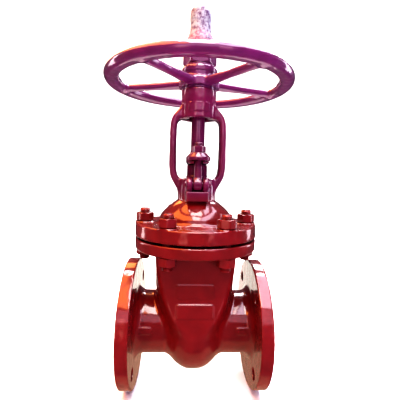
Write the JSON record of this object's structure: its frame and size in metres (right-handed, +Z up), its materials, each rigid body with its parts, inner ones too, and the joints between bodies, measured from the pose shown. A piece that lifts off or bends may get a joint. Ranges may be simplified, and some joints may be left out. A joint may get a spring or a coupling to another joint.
{
  "type": "gate valve",
  "caption": "Flanged wedge gate valve with a bolted bonnet, an outside yoke, a rising stem, a swing-bolted gland and a spoked handwheel.",
  "frame": {"origin": "under the stem axis, level with the lowest points of the two pipe flanges; the pipe axis runs 100 mm above it", "axes": "+X along the pipe towards the outlet, +Y to the back, +Z up the stem towards the handwheel"},
  "size_m": [0.288, 0.288, 0.594],
  "materials": {
    "casting_paint": "gloss red enamel over a rough casting",
    "gland_paint": "gloss dark red enamel",
    "stem_paint": "thin dark red enamel over a turned bar",
    "wheel_paint": "gloss wine red enamel over a casting",
    "fastener_paint": "gloss red enamel over plated steel",
    "cover_wrap": "wrinkled wrap, dusted with red paint",
    "trim_steel": "turned and ground",
    "bronze": "turned",
    "graphite": "pressed graphite"
  },
  "bodies": {
    "valve_body": {"body": "casting_paint", "inlet_seat_ring": "trim_steel", "outlet_seat_ring": "trim_steel", "bonnet_gasket": "graphite", "bonnet": "casting_paint", "back_seat_bush": "bronze", "packing_washer": "trim_steel", "packing_ring_1": "graphite", "packing_ring_2": "graphite", "packing_ring_3": "graphite", "packing_ring_4": "graphite", "eyebolt_pin_front": "gland_paint", "eyebolt_pin_back": "gland_paint", "thrust_washer_lower": "bronze", "thrust_washer_upper": "bronze", "yoke_cap": "wheel_paint", "bonnet_stud_1": "fastener_paint", "bonnet_stud_2": "fastener_paint", "bonnet_stud_3": "fastener_paint", "bonnet_stud_4": "fastener_paint", "bonnet_stud_5": "fastener_paint", "bonnet_stud_6": "fastener_paint", "upper_nut_1": "fastener_paint", "upper_nut_2": "fastener_paint", "upper_nut_3": "fastener_paint", "upper_nut_4": "fastener_paint", "upper_nut_5": "fastener_paint", "upper_nut_6": "fastener_paint", "lower_nut_1": "fastener_paint", "lower_nut_2": "fastener_paint", "lower_nut_3": "fastener_paint", "lower_nut_4": "fastener_paint", "lower_nut_5": "fastener_paint", "lower_nut_6": "fastener_paint"},
    "drive": {"stem_nut": "bronze", "handwheel": "wheel_paint", "wheel_key": "trim_steel", "wheel_washer": "wheel_paint", "wheel_lock_nut": "wheel_paint", "stem_cover": "cover_wrap"},
    "stem": {"stem": "stem_paint", "wedge": "trim_steel"},
    "gland": {"gland_follower": "gland_paint", "gland_flange": "gland_paint"},
    "eyebolt_front": {"eyebolt_front": "gland_paint"},
    "eyebolt_back": {"eyebolt_back": "gland_paint"},
    "gland_nut_front": {"gland_nut_front": "gland_paint"},
    "gland_nut_back": {"gland_nut_back": "gland_paint"}
  },
  "joints": [
    {"name": "wheel_spin", "type": "hinge", "parent": "valve_body", "child": "drive", "pos_m": [0, 0, 0.475], "axis": [0, 0, 1], "range_deg": [-6190, 0]},
    {"name": "stem_lift", "type": "slide", "parent": "valve_body", "child": "stem", "axis": [0, 0, 1], "range_m": [-0.086, 0]},
    {"name": "gland_adjust", "type": "slide", "parent": "valve_body", "child": "gland", "axis": [0, 0, 1], "range_m": [-0.004, 0], "deforming": ["packing_ring_1", "packing_ring_2", "packing_ring_3", "packing_ring_4"]},
    {"name": "eyebolt_front_swing", "type": "hinge", "parent": "valve_body", "child": "eyebolt_front", "pos_m": [0, -0.036, 0.325], "axis": [1, 0, 0], "range_deg": [0, 90]},
    {"name": "eyebolt_back_swing", "type": "hinge", "parent": "valve_body", "child": "eyebolt_back", "pos_m": [0, 0.036, 0.325], "axis": [-1, 0, 0], "range_deg": [0, 90]},
    {"name": "gland_nut_front_run", "type": "slide", "parent": "eyebolt_front", "child": "gland_nut_front", "axis": [0, 0, 1], "range_m": [-0.004, 0]},
    {"name": "gland_nut_back_run", "type": "slide", "parent": "eyebolt_back", "child": "gland_nut_back", "axis": [0, 0, 1], "range_m": [-0.004, 0]}
  ],
  "couplings": [
    {"joint": "stem_lift", "follows": "wheel_spin", "m_per_rad": 0.00079577},
    {"joint": "gland_nut_front_run", "follows": "gland_adjust", "ratio": 1},
    {"joint": "gland_nut_back_run", "follows": "gland_adjust", "ratio": 1}
  ]
}
